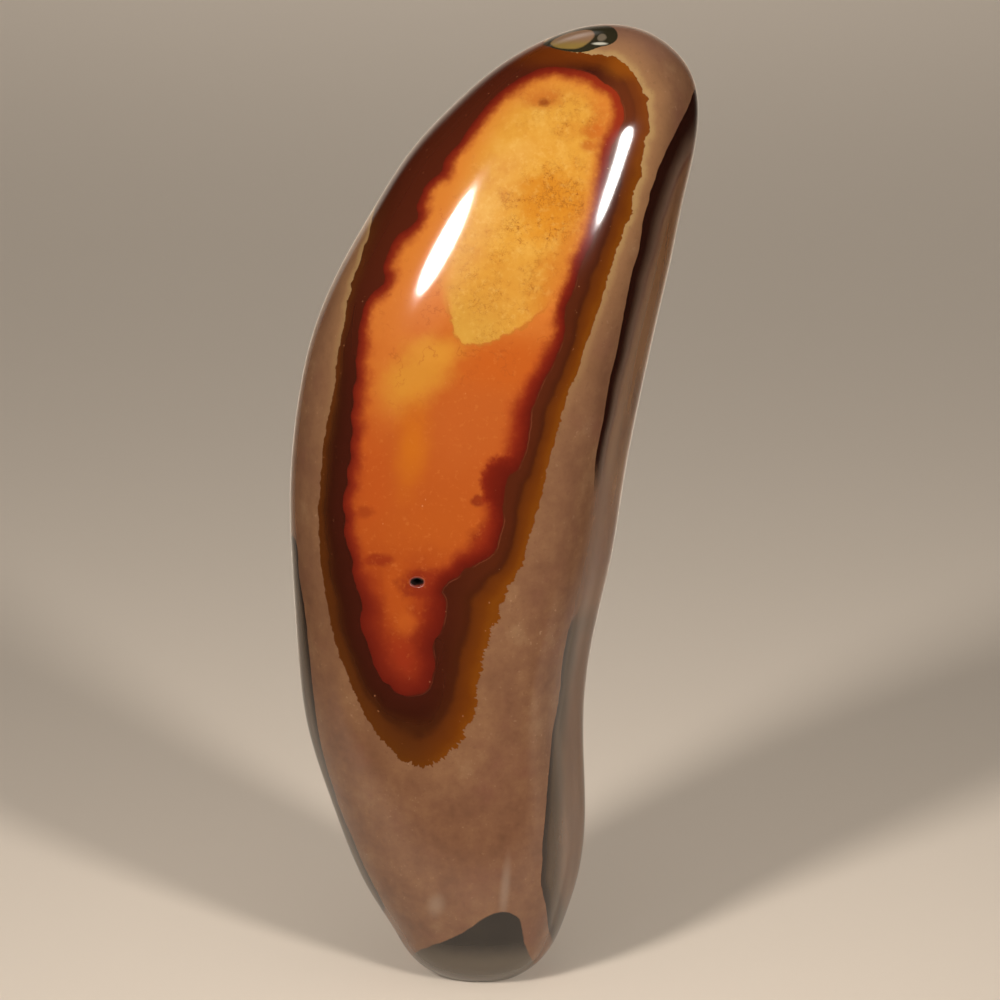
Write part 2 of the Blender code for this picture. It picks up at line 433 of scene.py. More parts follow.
def surface(lift, turn):
    """Points of the stone in millimetres. lift runs from 0 below the foot to pi at the top, turn from the
    right round by the back."""
    level = np.sin(lift)
    height = (HEIGHT - GROUND_OFF) / 2 - np.cos(lift) * (HEIGHT + GROUND_OFF) / 2
    outline_x, outline_y = (along(turn / (2 * math.pi) % 1.0) for along in make_section())
    # The outline eases into an ellipse towards the foot and the top, so that both ends are round.
    ease = level * (2 - level)
    ellipse = np.arctan2(outline_y, outline_x)
    across = ease * outline_x + (1 - ease) * np.cos(ellipse)
    along = ease * outline_y + (1 - ease) * np.sin(ellipse)
    middle_x, middle_y, half_width, half_depth = (size(height) for size in make_level_sizes())
    x = middle_x + half_width * level * across
    y = middle_y + half_depth * level * along
    return np.stack([x, y, np.broadcast_to(height, x.shape)], axis=-1)


def camera_axes():
    """Where the camera stands in millimetres, and its directions back, right and up."""
    tilt = math.radians(CAMERA_ELEVATION)
    back = np.array([0.0, -math.cos(tilt), math.sin(tilt)])
    right = np.array([1.0, 0.0, 0.0])
    up = np.array([0.0, math.sin(tilt), math.cos(tilt)])
    return np.array(CAMERA_AIM) + CAMERA_DISTANCE * back, back, right, up


def to_photo(points):
    """The photograph's pixels at which points of the stone show."""
    eye, back, right, up = camera_axes()
    rays = points - eye
    scale = PHOTO_SIZE * CAMERA_LENS / SENSOR / -(rays @ back)
    return np.stack([PHOTO_SIZE / 2 + scale * (rays @ right), PHOTO_SIZE / 2 - scale * (rays @ up)], axis=-1)


def carry_round(grid):
    """The photograph's pixel of each grid point, carried on round the edges for those that face away."""
    flat = to_photo(grid)
    eye = camera_axes()[0]
    along_ring = np.roll(grid, -1, axis=1) - np.roll(grid, 1, axis=1)
    along_rise = np.gradient(grid, axis=0)
    normals = np.cross(along_ring, along_rise)
    facing = np.einsum("ijk,ijk->ij", normals, eye - grid) > 0
    front = int(grid.shape[1] * FRONT_TURN)
    pixel = CAMERA_DISTANCE / CAMERA_LENS * SENSOR / PHOTO_SIZE
    for row in range(grid.shape[0]):
        order = (np.arange(grid.shape[1]) + front) % grid.shape[1]
        away = np.flatnonzero(~facing[row, order])
        if len(away) == 0:
            continue
        first, last = away[0], away[-1]
        ring = grid[row, order]
        way = np.concatenate([[0.0], np.cumsum(np.linalg.norm(np.diff(ring, axis=0), axis=1))]) / pixel
        seam = int(last - LEFT_SHARE * (last - first))
        x = flat[row, order, 0]
        right_start = x[max(first - 1, 0)]
        left_start = x[min(last + 1, len(x) - 1)]
        right_way = way - way[max(first - 1, 0)]
        left_way = way - way[min(last + 1, len(x) - 1)]
        x[first : seam + 1] = right_start + right_way[first : seam + 1]
        x[seam + 1 : last + 1] = left_start + left_way[seam + 1 : last + 1]
        flat[row, order, 0] = x
    return flat


def nearest(flat, place):
    """The ring and column of the grid point nearest to a place in the carried-on photograph."""
    gap = np.hypot(flat[..., 0] - place[0], flat[..., 1] - place[1])
    return np.unravel_index(np.argmin(gap), gap.shape)


def smooth_outline(outline, steps=4):
    """A closed curve through an outline's points, as a Catmull-Rom spline."""
    points = np.array(outline, float)
    before, after, beyond = (np.roll(points, turn, axis=0) for turn in (1, -1, -2))
    curve = []
    for t in np.arange(steps) / steps:
        curve.append(
            0.5 * (2 * points + (after - before) * t + (2 * before - 5 * points + 4 * after - beyond) * t**2
                   + (3 * points - before - 3 * after + beyond) * t**3)
        )
    return np.stack(curve, axis=1).reshape(-1, 2)


def place_outline(grid, flat, curve):
    """The curve's points on the stone, in millimetres, found between the grid's own points."""
    places = []
    for target in curve:
        row, column = nearest(flat, target)
        row = min(max(row, 1), grid.shape[0] - 2)
        after = (column + 1) % grid.shape[1]
        slopes = np.column_stack([(flat[row + 1, column] - flat[row - 1, column]) / 2,
                                  (flat[row, after] - flat[row, column - 1]) / 2])
        step = np.clip(np.linalg.lstsq(slopes, target - flat[row, column], rcond=None)[0], -1, 1)
        rise = (grid[row + 1, column] - grid[row - 1, column]) / 2
        turn = (grid[row, after] - grid[row, column - 1]) / 2
        places.append(grid[row, column] + step[0] * rise + step[1] * turn)
    return np.array(places)


def inside(flat, curve):
    """Whether each place lies within a closed curve."""
    found = np.zeros(flat.shape[:-1], bool)
    x, y = flat[..., 0], flat[..., 1]
    for (x0, y0), (x1, y1) in zip(curve, np.roll(curve, -1, axis=0)):
        if y0 == y1:
            continue
        crosses = (y0 > y) != (y1 > y)
        found ^= crosses & (x < x0 + (y - y0) * (x1 - x0) / (y1 - y0))
    return found


def distance_to(grid, flat, outline):
    """How far each grid point is from an outline in millimetres, less than 0 inside it, and the outline's
    nearest point."""
    curve = smooth_outline(outline)
    places = place_outline(grid, flat, curve)
    beyond = np.roll(places, -1, axis=0)
    spots = []
    for start, end in zip(places, beyond):
        count = max(int(np.linalg.norm(end - start) / OUTLINE_STEP), 1)
        share = np.arange(count)[:, None] / count
        spots.append(start + share * (end - start))
    spots = np.concatenate(spots)
    tree = KDTree(len(spots))
    for index, spot in enumerate(spots):
        tree.insert(spot, index)
    tree.balance()
    found = [tree.find(point) for point in grid.reshape(-1, 3)]
    gap = np.array([distance for _, _, distance in found]).reshape(grid.shape[:-1])
    foot = spots[[index for _, index, _ in found]].reshape(grid.shape)
    return np.where(inside(flat, curve), -gap, gap), foot


def make_grid():
    """The stone's points ring by ring from the ground flat up, closer together across the pit."""
    reach = (HEIGHT + GROUND_OFF) / 2
    lowest = math.acos(1 - GROUND_OFF / reach)
    lift = np.linspace(lowest, math.pi, RINGS + 1)[:-1]
    turn = np.linspace(0, 2 * math.pi, COLUMNS, endpoint=False)
    first = surface(lift[:, None], turn[None, :])
    row, column = nearest(carry_round(first), PIT_PLACE)
    pit = first[row, column]
    extra = np.linspace(-PIT_EXTRA_REACH, PIT_EXTRA_REACH, PIT_EXTRA)
    lift = np.sort(np.concatenate([lift, lift[row] + extra * (lift[1] - lift[0])]))
    turn = np.sort(np.concatenate([turn, turn[column] + extra * 2 * (turn[1] - turn[0])]))
    grid = surface(lift[:, None], turn[None, :])
    across = (grid[..., 0] - pit[0]) / PIT_HALF[0]
    upward = (grid[..., 2] - pit[2]) / PIT_HALF[1]
    near = np.clip(1 - across**2 - upward**2, 0, 1) * (grid[..., 1] < 0)
    sunk = grid + np.array([0.0, PIT_DEPTH, 0.0]) * near[..., None] ** PIT_STEEPNESS
    return grid, sunk


def fit_to_box(points):
    """Moves the points, in metres, by hundredths of a millimetre, so that they fill the CAD model's box."""
    low, high = points.min(axis=0), points.max(axis=0)
    share = (points - low) / (high - low)
    return np.array(cad_low) + share * (np.array(cad_high) - np.array(cad_low))


def mesh_of(grid):
    """A closed mesh of the rings, with the top drawn to a point and the foot's rim rounded into its flat."""
    rows, columns = grid.shape[:2]
    top = surface(np.array([math.pi]), np.array([0.0]))
    middle = grid[0].mean(axis=0)
    rim = middle + (grid[0] - middle) * (1 - RIM_ROUNDING / FLAT_HALF)
    lifted = grid.copy()
    lifted[0, :, 2] += RIM_LIFT
    points = np.vstack([lifted.reshape(-1, 3), top, rim, middle[None, :]])
    top_at = rows * columns
    rim_at = top_at + 1
    middle_at = rim_at + columns
    faces = []
    for column in range(columns):
        after = (column + 1) % columns
        for row in range(rows - 1):
            low, high = row * columns, (row + 1) * columns
            faces.append((low + column, low + after, high + after, high + column))
        last = (rows - 1) * columns
        faces.append((last + column, last + after, top_at))
        faces.append((rim_at + column, rim_at + after, after, column))
        faces.append((middle_at, rim_at + after, rim_at + column))
    mesh = bpy.data.meshes.new("jasper")
    mesh.from_pydata([tuple(point) for point in fit_to_box(points * MM)], [], faces)
    mesh.update()
    mesh.shade_smooth()
    return mesh


def keep(mesh, name, values):
    """Stores the grid's numbers or vectors for the mesh's points, those of top, rim and foot last."""
    flat_values = values.reshape((-1,) + values.shape[2:])
    values = np.concatenate([flat_values, values[-1, :1], values[0], values[0, :1]]).astype(np.float32)
    kind, field = ("FLOAT", "value") if values.ndim == 1 else ("FLOAT_VECTOR", "vector")
    mesh.attributes.new(name, kind, "POINT").data.foreach_set(field, values.ravel())


def make_stone():
    grid, sunk = make_grid()
    flat = carry_round(grid)
    mesh = mesh_of(sunk)
    core = np.minimum(distance_to(grid, flat, CORE)[0], distance_to(grid, flat, BACK_CORE)[0])
    halo, halo_foot = distance_to(grid, flat, HALO)
    back_halo, back_foot = distance_to(grid, flat, BACK_HALO)
    halo_foot = np.where((back_halo < halo)[..., None], back_foot, halo_foot)
    keep(mesh, "core", core)
    keep(mesh, "halo", np.minimum(halo, back_halo))
    keep(mesh, "halo_foot", halo_foot * MM)
    for name, outline in (
        ("side_band", SIDE_BAND), ("low_band", LOW_BAND), ("left_band", LEFT_BAND), ("meadow", MEADOW),
        ("foot_patch", FOOT_PATCH), ("eye", EYE), ("eye_lens", EYE_LENS), ("eye_spot", EYE_SPOT),
    ):
        keep(mesh, name, distance_to(grid, flat, outline)[0])
    keep(mesh, "chart", np.dstack([flat, np.zeros(flat.shape[:-1])]))
    heights, middles = np.array(FIGURE_MIDDLE, float).T
    keep(mesh, "figure_side", flat[..., 0] - np.interp(flat[..., 1], heights, middles))
    return add_object("jasper_stone", mesh)


class Value:
    """What a node gives at one of its outputs. Values are added, multiplied and so on like plain numbers."""

    def __init__(self, nodes, node, output):
        self.nodes, self.node, self.output = nodes, node, output

    def __add__(self, other):
        return self.nodes.math("ADD", self, other)

    def __radd__(self, other):
        return self.nodes.math("ADD", other, self)

    def __sub__(self, other):
        return self.nodes.math("SUBTRACT", self, other)

    def __mul__(self, other):
        return self.nodes.math("MULTIPLY", self, other)

    def __truediv__(self, other):
        return self.nodes.math("DIVIDE", self, other)

    def __neg__(self):
        return self * -1.0

    def __abs__(self):
        return self.nodes.math("ABSOLUTE", self)


class Nodes:
    """A material's node tree. Colours are given as they look in the photograph, from 0 to 255."""

    def __init__(self, material):
        self.tree = material.node_tree

    def add(self, kind, output, inputs=(), **settings):
        node = self.tree.nodes.new(kind)
        for name, value in settings.items():
            setattr(node, name, value)
        for key, value in dict(inputs).items():
            self.feed(node.inputs[key], value)
        return Value(self, node, output)

    def feed(self, socket, value):
        if isinstance(value, Value):
            self.tree.links.new(value.node.outputs[value.output], socket)
        else:
            socket.default_value = value

    def math(self, operation, first, second=0.0, third=0.0):
        return self.add("ShaderNodeMath", 0, {0: first, 1: second, 2: third}, operation=operation)

    def step(self, value, low, high):
        """0 up to low and 1 from high, smooth between them; low may be the larger one."""
        return self.slide(value, low, high, 0.0, 1.0, "SMOOTHSTEP")

    def slide(self, value, low, high, at_low, at_high, course="LINEAR"):
        """Goes from at_low to at_high while the value goes from low to high."""
        ends = {"Value": value, "From Min": low, "From Max": high, "To Min": at_low, "To Max": at_high}
        return self.add("ShaderNodeMapRange", "Result", ends, interpolation_type=course)

    def number(self, name):
        return self.add("ShaderNodeAttribute", "Fac", attribute_name=name)

    def vector(self, name):
        return self.add("ShaderNodeAttribute", "Vector", attribute_name=name)

    def part(self, vector, axis):
        return self.add("ShaderNodeSeparateXYZ", axis, {0: vector})

    def noise(self, size, detail=2, roughness=0.5, vector=None, stretch=None, seed=0.0):
        """Noise whose lumps are about size millimetres across, spread round 0 from about -1 to 1."""
        place = vector if vector is not None else self.place
        if stretch is not None or seed:
            shift = {"Vector": place, "Location": (seed, seed * 0.7, -seed), "Scale": stretch or (1, 1, 1)}
            place = self.add("ShaderNodeMapping", 0, shift)
        grain = {"Vector": place, "Scale": 1 / (size * MM), "Detail": detail, "Roughness": roughness}
        return self.math("MULTIPLY_ADD", self.add("ShaderNodeTexNoise", "Fac", grain), 2.0, -1.0)

    def mix(self, share, first, second):
        """The first colour where the share is 0 and the second where it is 1."""
        mixed = self.add("ShaderNodeMix", 2, {0: share}, data_type="RGBA")
        for index, value in ((6, first), (7, second)):
            self.feed(mixed.node.inputs[index], (*seen(*value), 1.0) if isinstance(value, tuple) else value)
        return mixed

    def tint(self, base, share, strength, colour):
        """Mixes a colour into the base, by a share from 0 to 1 that is weakened to the strength."""
        return self.mix(share * strength, base, colour)

    def ramp(self, value, tones):
        made = self.add("ShaderNodeValToRGB", "Color", {"Fac": value})
        bands = made.node.color_ramp.elements
        while len(bands) < len(tones):
            bands.new(0.5)
        for band, (place, colour) in zip(bands, tones):
            band.position = place
            band.color = (*seen(*colour), 1.0)
        return made


def srgb(red, green, blue):
    """A colour given as it looks on a screen, from 0 to 255, as Blender's linear values."""
    shares = (red / 255, green / 255, blue / 255)
    return tuple(share / 12.92 if share <= 0.04045 else ((share + 0.055) / 1.055) ** 2.4 for share in shares)


def seen(red, green, blue):
    """The base colour of what looks like this colour in the photograph, under this scene's lamps."""
    return tuple(share / LIGHT_LEVEL for share in srgb(red, green, blue))


def spot(n, x, y, wide, high, soft, stir=None, lean=0.0):
    """1 within an oval round a place in the photograph and 0 outside it, with a soft edge."""
    down = n.chart_y - y
    across = (n.chart_x - x + down * lean) / wide
    upward = down / high
    away = n.math("SQRT", across * across + upward * upward)
    if stir is not None:
        away = away + stir
    return n.step(away, 1.0 + soft, 1.0 - soft)


def lay_patches(n, base, patches, stir=None):
    """Mixes oval patches of other colours into the base, one after the other."""
    for x, y, wide, high, soft, strength, lean, colour in patches:
        base = n.tint(base, spot(n, x, y, wide, high, soft, stir, lean), strength, colour)
    return base


def host_colour(n, halo):
    """The tan host rock, mottled and cloudy, creamy next to the figure and pinker away from it."""
    cloud = n.noise(9.0, detail=4, roughness=0.55)
    mottle = n.noise(2.2, detail=4, roughness=0.62, seed=0.31)
    streak = n.noise(5.0, detail=3, stretch=(1.0, 1.0, 0.35), seed=0.57)
    base = n.ramp(0.5 + cloud * 0.55 + mottle * 0.4 + streak * 0.35, HOST_TONES)
    blush = n.step(n.noise(7.0, detail=4, roughness=0.6, seed=0.77), 0.0, 0.5)
    base = n.tint(base, blush, 0.55, (126, 82, 64))
    top = n.step(n.chart_y + cloud * 25.0, *TOP_BLUSH_Y)
    base = n.tint(base, top, 0.6, (146, 104, 84))
    cream = n.step(n.chart_y + cloud * 60.0, *CREAM_Y)
    near = n.step(halo + cloud, 6.0, 0.3)
    base = n.tint(base, near, 0.15 + cream * 0.6, (164, 120, 80))
    fringe = n.step(halo + mottle * 0.8, 1.6, 0.1)
    base = n.tint(base, fringe, cream * 0.7, (186, 150, 98))
    speck = n.step(n.noise(0.55, detail=1, seed=0.83), 0.3, 0.6)
    gather = n.step(mottle + cloud, -0.2, 0.5)
    base = n.tint(base, speck, gather * 0.5, (184, 148, 118))
    crumb = n.step(n.noise(0.8, detail=3, roughness=0.7, seed=0.18), 0.1, 0.45)
    base = n.tint(base, crumb, 0.22, (104, 70, 50))
    return lay_back_zones(n, base, cloud, mottle)


def lay_back_zones(n, base, cloud, mottle):
    """Broad ochre and mauve zones on the back of the stone, with thin dark seams round them."""
    behind = n.step(n.part(n.place, "Y") + mottle * MM, 4.0 * MM, 8.0 * MM)
    zone = n.noise(32.0, detail=3, seed=0.46) + mottle * 0.05
    tone = 0.5 + cloud * 0.9
    ochre = n.mix(tone, (122, 92, 62), (150, 112, 70))
    base = n.tint(base, n.step(zone, 0.05, 0.07), behind * 0.8, ochre)
    mauve = n.mix(tone, (112, 70, 60), (136, 90, 78))
    base = n.tint(base, n.step(zone, -0.16, -0.18), behind * 0.8, mauve)
    seam = n.math("MINIMUM", abs(zone - 0.06), abs(zone + 0.17))
    return n.tint(base, n.step(seam, 0.02, 0.004), behind * 0.4, (78, 50, 38))


def band_colour(n, core, halo, side):
    """The brown band round the figure: mahogany inside and amber outside, which is broad on the right."""
    share = core / n.math("MAXIMUM", core - halo, 0.05)
    wander = n.noise(3.5, detail=3, seed=0.2) * 0.12
    share = share + wander + n.slide(side, *BROAD_SIDE, -0.24, 0.1)
    band = n.ramp(share, BAND_TONES)
    inner = n.step(share, 0.62, 0.3) * n.step(side, *INNER_SIDE)
    band = n.tint(band, inner, 0.8, (88, 38, 18))
    upper_left = n.step(n.chart_y, *UPPER_LEFT_Y) * n.step(side, *UPPER_LEFT_SIDE)
    band = n.tint(band, upper_left, 0.6, (92, 38, 20))
    # The patches include painted highlight haze at the band's top right.
    band = lay_patches(n, band, BAND_PATCHES_AND_PAINTED_HAZE, n.noise(3.0, detail=3, seed=0.61) * 0.3)
    shell = n.step(n.chart_x, *SHELL_X) * n.step(share, 0.25, 0.75)
    band = n.tint(band, shell, 0.5, (80, 46, 20))
    thread = n.step(abs(core - 0.16), 0.13, 0.02) * n.step(side, *THREAD_SIDE)
    broken = n.step(n.noise(4.0, seed=0.12), -0.25, 0.2)
    band = n.tint(band, thread * broken, 0.25, (160, 84, 58))
    mote = n.step(n.noise(0.5, detail=0, seed=0.37), 0.66, 0.78)
    return n.tint(band, mote, 0.4, (190, 130, 90))


def figure_body(n, cloud, mottle, grain):
    """The figure below its yellow top: orange that turns red in the tongue, with ochre patches."""
    place = (n.chart_y + cloud * 40.0 + mottle * 22.0) / PHOTO_SIZE
    body = n.ramp(place, BODY_TONES)
    stir = mottle * 0.45 + cloud * 0.3 + grain * 0.12
    body = lay_patches(n, body, BODY_PATCHES, stir)
    rough = mottle * 0.8 + cloud * 0.3 + grain * 0.35
    body = lay_patches(n, body, RED_PATCHES, rough)
    vein = n.step(abs(n.noise(4.5, detail=4, roughness=0.6, seed=0.29)), 0.04, 0.0)
    where = n.step(n.chart_y, *VEINS_Y) * n.step(n.noise(3.0, seed=0.58), -0.05, 0.25)
    body = n.tint(body, vein * where, 0.4, (160, 78, 32))
    return n.mix(n.step(grain, 0.1, 0.5), body, n.mix(0.18, body, (224, 140, 70)))


def sand_colour(n, cloud, mottle, grain):
    """The yellow top of the figure, with khaki at its foot and fine brown marks like moss."""
    sand = n.ramp(0.5 + mottle * 0.55 + cloud * 0.4 + grain * 0.15, SAND_TONES)
    stir = mottle * 0.5 + cloud * 0.3 + grain * 0.15
    sand = lay_patches(n, sand, SAND_PATCHES, stir)
    fine = n.noise(0.5, detail=4, roughness=0.75, seed=0.66)
    clump = n.step(n.noise(2.6, detail=3, roughness=0.6, seed=0.95), -0.2, 0.2)
    dense = spot(n, *DENSE_MOSS, stir, 0.3)
    sparse = n.math("MAXIMUM", spot(n, *LOW_MOSS, stir) * 0.55, spot(n, *TOP_MOSS, stir) * 0.5)
    where = n.math("MAXIMUM", dense, sparse)
    dots = n.step(fine, 0.0, 0.26) * clump * where
    sand = n.tint(sand, dots, 0.8, (176, 104, 34))
    dark_dots = n.step(fine, 0.2, 0.4) * clump * where
    sand = n.tint(sand, dark_dots, 0.6, (136, 80, 30))
    twigs = n.step(abs(n.noise(1.7, detail=5, roughness=0.72, seed=0.52)), 0.07, 0.0)
    sand = n.tint(sand, twigs * where, 0.1 + clump * 0.6, (146, 86, 32))
    return n.tint(sand, n.step(grain, 0.0, 0.5), 0.25, (240, 190, 104))


def core_colour(n, core, meadow, side):
    """The figure: a red rim, orange inside it, and a yellow top with a crisp foot and soft sides."""
    cloud = n.noise(11.0, detail=4, roughness=0.55, seed=0.11)
    mottle = n.noise(3.0, detail=4, roughness=0.6, seed=0.43)
    grain = n.noise(0.9, detail=3, roughness=0.65, seed=0.9)
    body = figure_body(n, cloud, mottle, grain)
    edge = meadow + mottle + grain * 0.5
    soft = n.slide(n.chart_y, *MEADOW_SOFT_Y, 0.6, 4.2)
    yellow = n.step(edge / soft, 0.6, -0.7)
    body = n.mix(yellow, body, sand_colour(n, cloud, mottle, grain))
    seam = n.step(abs(edge), 0.3, 0.0) * n.step(n.chart_y, *MEADOW_SEAM_Y)
    body = n.tint(body, seam, 0.45, (176, 96, 34))

    corner = spot(n, *CORNER)
    bay = spot(n, *BAY, grain * 0.35)
    lower_right = n.step(side, *LOWER_RIGHT_SIDE) * n.step(n.chart_y, *LOWER_RIGHT_Y)
    tongue = n.step(n.chart_y, *TONGUE_Y)
    reach = 2.3 + corner * -0.2 + lower_right * 1.2 + bay * 5.5 + tongue * 1.6 + mottle * 1.6 + cloud * 0.8
    depth = -core + grain * 0.35 + mottle * 0.25
    depth = depth / n.math("MAXIMUM", reach, 0.9)
    rim = n.mix(n.step(side, *RIM_SIDE), n.ramp(depth, LEFT_RIM_TONES), n.ramp(depth, RIGHT_RIM_TONES))
    rim = n.tint(rim, n.step(n.chart_y, *TONGUE_RIM_Y), 0.5, (102, 28, 17))
    rim = n.tint(rim, corner, 0.75, (158, 54, 27))
    body = n.mix(n.step(depth, 1.3, 0.35), body, rim)
    pale = n.step(n.noise(0.5, detail=0, seed=0.21), 0.74, 0.86)
    return n.tint(body, pale, 0.35, (230, 168, 120))


def flank_colour(n, distance):
    """The dark band on the stone's upper right side: maroon along its edge, then brown, then pinkish tan."""
    cloud = n.noise(6.0, detail=3, seed=0.15)
    mottle = n.noise(2.0, detail=4, roughness=0.6, seed=0.44)
    closer = n.slide(n.chart_y, *FLANK_Y, 1.0, 2.6)
    depth = -distance * closer + cloud * 0.7 + mottle * 0.4
    colour = n.ramp(depth / FLANK_DEPTH, FLANK_TONES)
    grain = n.noise(6.0, detail=5, roughness=0.62, stretch=(1.0, 1.0, 0.3), seed=0.33)
    far = n.step(distance + cloud * 2.0, -7.0, -12.0)
    colour = n.tint(colour, n.step(grain, -0.05, 0.3), far * 0.6, (96, 62, 46))
    return n.tint(colour, n.step(grain, -0.1, -0.4), far * 0.6, (166, 126, 86))


def seam_colour(n, distance):
    """The lower and left bands: a thin dark line along their edge and olive brown inside."""
    cloud = n.noise(6.0, detail=4, roughness=0.6, seed=0.15)
    depth = -distance + cloud * 0.12
    tone = 0.5 + cloud * 0.8
    inside = n.mix(tone, (78, 61, 46), (98, 77, 58))
    middle = n.mix(tone, (110, 78, 58), (132, 96, 70))
    inside = n.mix(n.step(depth + cloud * 3.0, 3.0, 8.0), inside, middle)
    return n.mix(n.step(depth, 0.25, 1.8), (52, 38, 29), inside)


def core_edge(n):
    """The distance to the figure's edge, a little rough, with scallops on the back."""
    scallops = n.noise(4.5, detail=3, roughness=0.6, seed=0.88) * 2.4 * n.hidden
    return n.number("core") + n.noise(3.2, seed=0.5) * 0.3 + n.noise(0.9, seed=0.6) * 0.14 + scallops


def halo_edge(n, serration, side):
    """The distance to the brown band's edge, with needles that are longest low on the right."""
    needles = n.noise(0.6, roughness=0.6, vector=n.vector("halo_foot"), seed=0.4)
    feather = n.slide(n.chart_y, *FEATHER_Y, 0.4, 1.1)
    feather = feather * (0.35 + n.step(side, *FEATHER_SIDE) * 0.65)
    waves = n.noise(3.0, detail=3, roughness=0.6, seed=0.91)
    return n.number("halo") + needles * feather + serration * 0.5 + waves * (0.4 + n.hidden * 2.0)


def lay_bands(n, colour, fray):
    """The dark bands on the stone's flanks, which run on round to the back."""
    lobes = n.noise(7.0, detail=3, seed=0.54) * 2.6
    for name, paint in (("side_band", flank_colour), ("low_band", seam_colour), ("left_band", seam_colour)):
        distance = n.number(name) + lobes * n.hidden
        share = n.step(distance + fray, 0.06, -0.06)
        if name in ENDS:
            share = share * n.math("MAXIMUM", n.hidden, n.step(n.chart_y, *ENDS[name]))
        colour = n.mix(share, colour, paint(n, distance))
    return colour


def lay_foot(n, colour, fray):
    """The charcoal foot patch, paled near the ground by a painted floor reflection, and two painted
    reflection streaks above it.
    """
    # Painted reflections: two pale streaks above the foot.
    colour = lay_patches(n, colour, FOOT_PAINTED_REFLECTIONS)
    charcoal = n.ramp(0.5 + n.noise(4.0, detail=3, seed=0.35) * 0.6, CHARCOAL_TONES)
    height = n.part(n.place, "Z") + n.noise(2.5, seed=0.72) * (0.4 * MM)
    # Painted reflection of the bright floor: the charcoal turns pale grey towards the ground.
    charcoal = n.tint(charcoal, n.step(height, 9.5 * MM, 4.4 * MM), 0.9, (108, 96, 82))
    return n.mix(n.step(n.number("foot_patch") + fray, 0.15, -0.15), colour, charcoal)


def lay_eye(n, colour, serration):
    """The small eye at the top: a dark ring round a pale lens, a paler spot and a painted glint as a thin
    light line.
    """
    ring = n.step(n.number("eye") + serration * 0.08, 0.05, -0.08)
    colour = n.mix(ring, colour, (50, 45, 30))
    lens = n.mix(n.step(n.chart_y, *LENS_Y), (146, 118, 62), (148, 112, 84))
    colour = n.mix(n.step(n.number("eye_lens"), 0.12, -0.3), colour, lens)
    colour = n.mix(n.step(n.number("eye_spot"), 0.1, -0.25), colour, (118, 104, 86))
    return lay_patches(n, colour, EYE_PAINTED_GLINT)


def make_jasper():
    """The stone's material: each colour zone has its place from the mesh and its fine detail from noise."""
    material = new_material("polished_polychrome_jasper")
    n = Nodes(material)
    n.place = n.add("ShaderNodeTexCoord", "Object")
    n.chart_x, n.chart_y = (n.part(n.vector("chart"), axis) for axis in "XY")
    n.hidden = n.step(n.part(n.place, "Y"), 1.0 * MM, 5.0 * MM)
    side = n.number("figure_side")
    serration = n.noise(1.3, detail=4, roughness=0.65, seed=0.7)
    fray = n.noise(2.4, detail=3, seed=0.25) * 0.22 + serration * 0.1

    colour = host_colour(n, n.number("halo"))
    colour = lay_bands(n, colour, fray)
    colour = lay_foot(n, colour, fray)
    core = core_edge(n)
    brown = band_colour(n, core, n.number("halo"), side)
    colour = n.mix(n.step(halo_edge(n, serration, side), 0.05, -0.05), colour, brown)
    figure = core_colour(n, core, n.number("meadow"), side)
    colour = n.mix(n.step(core, 0.09, -0.09), colour, figure)
    lip = spot(n, *PIT_PLACE, *PIT_LIP)
    colour = n.tint(colour, lip, 0.2, (140, 70, 50))
    # Painted shade in the pit: its inside is coloured near black where shade falls.
    colour = n.mix(spot(n, *PIT_PLACE, *PIT_PAINTED_SHADE), colour, (30, 16, 11))
    colour = lay_eye(n, colour, serration)

    shader = n.tree.nodes["Principled BSDF"]
    n.feed(shader.inputs["Base Color"], colour)
    n.feed(shader.inputs["Roughness"], ROUGHNESS + lip * 0.35)
    shader.inputs["IOR"].default_value = JASPER_IOR
    return material


def new_material(name):
    material = bpy.data.materials.new(name)
    material.use_nodes = True
    return material


def add_object(name, data):
    made = bpy.data.objects.new(name, data)
    bpy.context.scene.collection.objects.link(made)
    return made


def make_paper(name):
    """A dull material in the floor's colour."""
    material = new_material(name)
    shader = material.node_tree.nodes["Principled BSDF"]
    shader.inputs["Base Color"].default_value = (*srgb(*FLOOR_COLOUR), 1.0)
    shader.inputs["Roughness"].default_value = PAPER_ROUGHNESS
    return material


def rectangle(x, y):
    return [(-x, -y, 0), (x, -y, 0), (x, y, 0), (-x, y, 0)]


def make_floor():
    """A wide plain floor, which fills the picture behind the stone too."""
    mesh = bpy.data.meshes.new("floor")
    mesh.from_pydata(rectangle(FLOOR_HALF, FLOOR_HALF), [], [(0, 1, 2, 3)])
    floor = add_object("floor", mesh)
    material = make_paper("plain_floor")
    material.node_tree.nodes["Principled BSDF"].inputs["Specular IOR Level"].default_value = FLOOR_SHEEN
    mesh.materials.append(material)
    floor.visible_glossy = False


